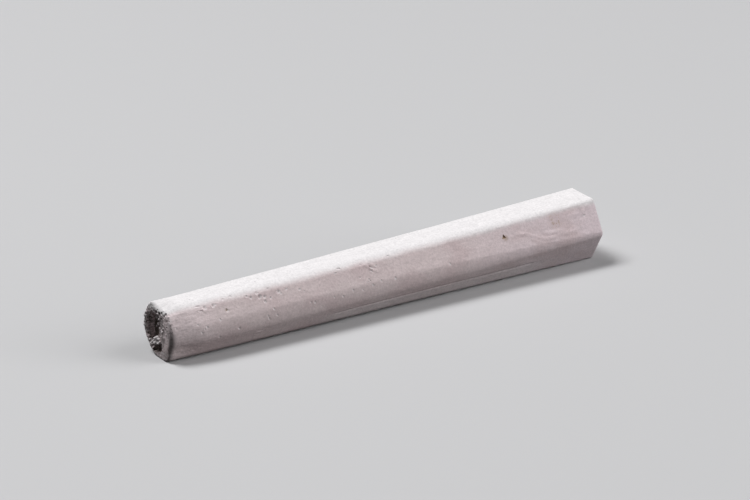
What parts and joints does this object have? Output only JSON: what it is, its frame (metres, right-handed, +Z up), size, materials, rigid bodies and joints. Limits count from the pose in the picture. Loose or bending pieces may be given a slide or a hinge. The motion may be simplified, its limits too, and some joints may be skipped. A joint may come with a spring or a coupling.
{
  "type": "chalk stick",
  "caption": "Tapered hexagonal stick of white chalk for writing on boards, with a square large end and a worn, cupped small end; lies on one flat.",
  "frame": {"origin": "middle of the stick's length, on the surface that its bottom flat rests on", "axes": "+X along the stick towards its large square end, +Z up out of its top flat, -Y towards the front, where the long edge is worn roundest"},
  "size_m": [0.08, 0.0116, 0.0103],
  "materials": {
    "chalk": "matte"
  },
  "bodies": {
    "root": {"chalk_stick": "chalk"}
  },
  "joints": []
}
